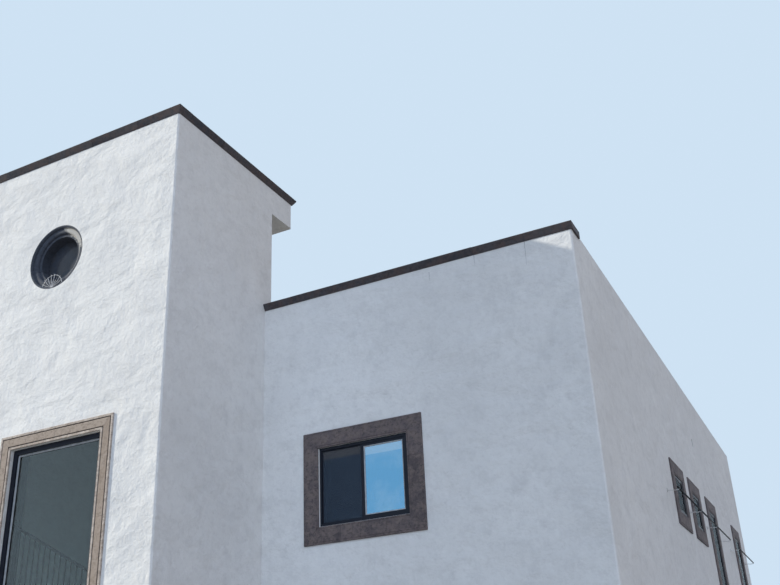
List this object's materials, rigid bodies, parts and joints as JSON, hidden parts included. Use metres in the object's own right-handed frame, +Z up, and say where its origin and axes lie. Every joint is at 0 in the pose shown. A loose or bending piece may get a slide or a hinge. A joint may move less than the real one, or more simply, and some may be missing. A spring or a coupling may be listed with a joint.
{
  "type": "adobe house",
  "caption": "Flat-roofed adobe house with a square stair tower, white lime plaster, stone copings and surrounds, an oculus and a walled roof terrace.",
  "frame": {"origin": "middle of the plan, at the ground, on the underside of the ground slab", "axes": "+Z up, -Y out of the front, +X to the right along the front"},
  "size_m": [10.299, 17.498, 10.425],
  "materials": {
    "lime_plaster": "hand-trowelled matte",
    "concrete": "floated matte",
    "dark_stone": "quarried matte",
    "tan_stone": "honed matte",
    "black_aluminium": "satin black coat",
    "black_iron": "satin black paint",
    "pane": "clear",
    "door_wood": "oiled"
  },
  "bodies": {
    "root": {"ground_slab": "concrete", "upper_floor_slab": "concrete", "terrace_slab": "concrete", "tower_roof": "lime_plaster", "block_front_wall": "lime_plaster", "block_right_wall": "lime_plaster", "block_back_wall": "lime_plaster", "block_left_wall": "lime_plaster", "tower_front_wall": "lime_plaster", "tower_right_wall": "lime_plaster", "tower_left_wall": "lime_plaster", "tower_back_wall": "lime_plaster", "block_front_coping": "dark_stone", "tower_front_coping": "dark_stone", "tower_side_copings": "dark_stone", "tower_back_coping": "dark_stone", "oculus_ring": "dark_stone", "oculus_glass": "pane", "tall_window_surround": "tan_stone", "tall_window_frame": "black_aluminium", "tall_window_glass": "pane", "stair_railing": "black_iron", "front_window_surround": "dark_stone", "front_window_frame": "black_aluminium", "front_window_sashes": "black_aluminium", "front_window_glass": "pane", "entrance_surround": "dark_stone", "entrance_frame": "black_aluminium", "entrance_door": "door_wood", "right_window_surrounds": "dark_stone", "right_window_frames": "black_aluminium", "right_window_glass": "pane", "long_window_surrounds": "dark_stone", "long_window_frames": "black_aluminium", "long_window_glass": "pane", "near_wall_rod": "black_iron", "far_wall_rod": "black_iron", "back_window_surrounds": "dark_stone", "back_window_frames": "black_aluminium", "back_window_glass": "pane", "left_window_surrounds": "dark_stone", "left_window_frames": "black_aluminium", "left_window_glass": "pane", "roof_door_frame": "black_aluminium", "roof_door": "door_wood"}
  },
  "joints": []
}
